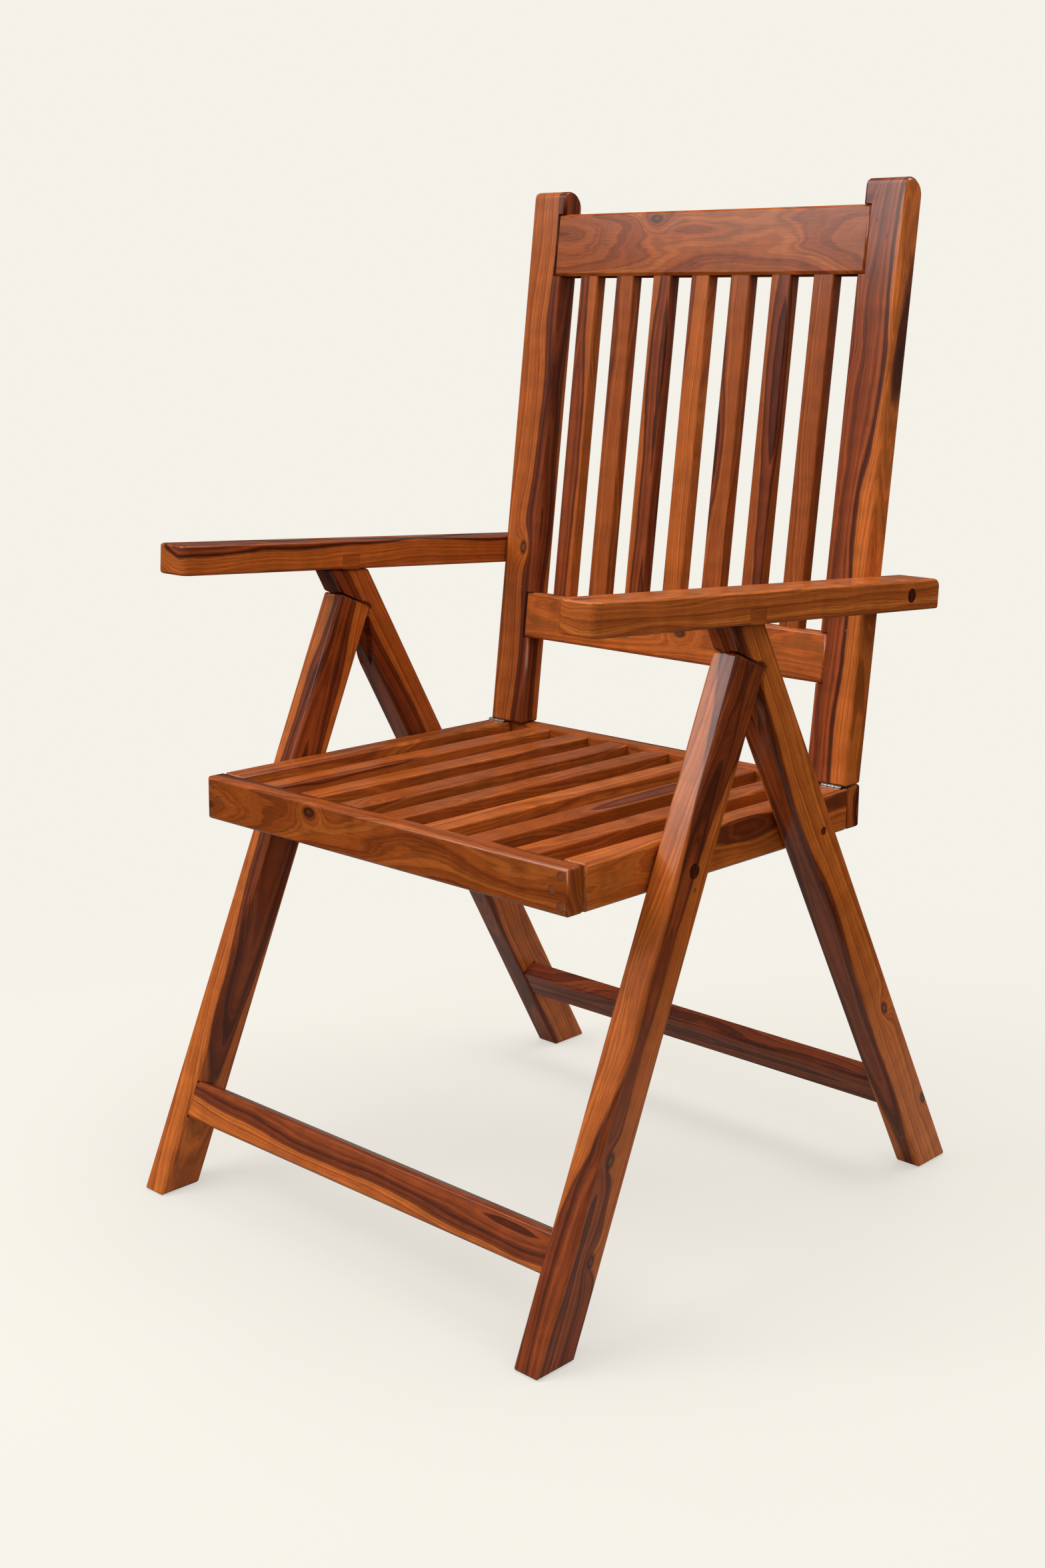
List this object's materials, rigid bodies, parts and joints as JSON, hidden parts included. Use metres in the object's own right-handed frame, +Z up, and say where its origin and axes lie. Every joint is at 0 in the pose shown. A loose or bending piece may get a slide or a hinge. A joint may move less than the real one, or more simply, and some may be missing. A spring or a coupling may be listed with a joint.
{
  "type": "folding chair",
  "caption": "Slatted hardwood folding armchair: raked legs hinged at a knuckle under each arm, hinged seat and back, pivoting arms.",
  "frame": {"origin": "on the floor, at the middle of the footprint", "axes": "+Z up, the chair faces -Y, +X is the sitter's left; the chair is symmetric about x = 0"},
  "size_m": [0.5896, 0.6693, 1.0475],
  "materials": {
    "wood": "gloss",
    "dark_wood": "gloss",
    "steel": "satin"
  },
  "bodies": {
    "front_legs": {"front_leg_left": "wood", "front_leg_right": "wood", "front_stretcher": "wood", "knuckle_pin_left": "steel", "knuckle_pin_right": "steel", "seat_pivot_bolt_left": "steel", "seat_pivot_bolt_right": "steel", "seat_pivot_plug_left": "dark_wood", "seat_pivot_plug_right": "dark_wood", "seat_pivot_washer_left": "steel", "seat_pivot_washer_right": "steel", "seat_pivot_nut_left": "steel", "seat_pivot_nut_right": "steel"},
    "rear_legs": {"rear_leg_left": "wood", "rear_leg_right": "wood", "rear_stretcher": "wood", "seat_peg_left": "dark_wood", "seat_peg_right": "dark_wood"},
    "seat": {"seat_front_rail": "wood", "seat_rear_rail": "wood", "seat_side_rail_left": "wood", "seat_side_rail_right": "wood", "seat_slat_1": "wood", "seat_slat_2": "wood", "seat_slat_3": "wood", "seat_slat_4": "wood", "seat_slat_5": "wood", "seat_slat_6": "wood", "seat_slat_7": "wood", "corner_screw_left_1": "steel", "corner_screw_left_2": "steel", "corner_screw_left_3": "steel", "corner_screw_right_1": "steel", "corner_screw_right_2": "steel", "corner_screw_right_3": "steel", "hinge_lower_leaf_left": "steel", "hinge_lower_leaf_right": "steel", "hinge_pin_left": "steel", "hinge_pin_right": "steel"},
    "back": {"back_stile_left": "wood", "back_stile_right": "wood", "back_top_rail": "wood", "back_lower_rail": "wood", "back_slat_1": "wood", "back_slat_2": "wood", "back_slat_3": "wood", "back_slat_4": "wood", "back_slat_5": "wood", "back_slat_6": "wood", "back_slat_7": "wood", "hinge_upper_leaf_left": "steel", "hinge_upper_leaf_right": "steel", "arm_pivot_screw_left": "steel", "arm_pivot_screw_right": "steel"},
    "arm_left": {"arm_left": "wood", "arm_block_left": "dark_wood", "arm_pivot_plug_left": "dark_wood"},
    "arm_right": {"arm_right": "wood", "arm_block_right": "dark_wood", "arm_pivot_plug_right": "dark_wood"}
  },
  "joints": [
    {"name": "seat_fold", "type": "hinge", "parent": "front_legs", "child": "seat", "pos_m": [0, -0.1323, 0.4195], "axis": [1, 0, 0], "range_deg": [0, 62]},
    {"name": "rear_leg_fold", "type": "hinge", "parent": "front_legs", "child": "rear_legs", "pos_m": [0, -0.04768, 0.58303], "axis": [1, 0, 0], "range_deg": [-35.5, 0]},
    {"name": "back_fold", "type": "hinge", "parent": "seat", "child": "back", "pos_m": [0, 0.15182, 0.44215], "axis": [1, 0, 0], "range_deg": [0, 93.9]},
    {"name": "arm_left_fold", "type": "hinge", "parent": "back", "child": "arm_left", "pos_m": [0.27, 0.19123, 0.64044], "axis": [1, 0, 0], "range_deg": [-85.9, 0]},
    {"name": "arm_right_fold", "type": "hinge", "parent": "back", "child": "arm_right", "pos_m": [-0.27, 0.19123, 0.64044], "axis": [1, 0, 0], "range_deg": [-85.9, 0]}
  ],
  "couplings": [
    {"joint": "rear_leg_fold", "follows": "seat_fold", "ratio": -0.56452},
    {"joint": "back_fold", "follows": "seat_fold", "ratio": 1.5065},
    {"joint": "arm_left_fold", "follows": "seat_fold", "ratio": -1.3774},
    {"joint": "arm_right_fold", "follows": "seat_fold", "ratio": -1.3774}
  ]
}
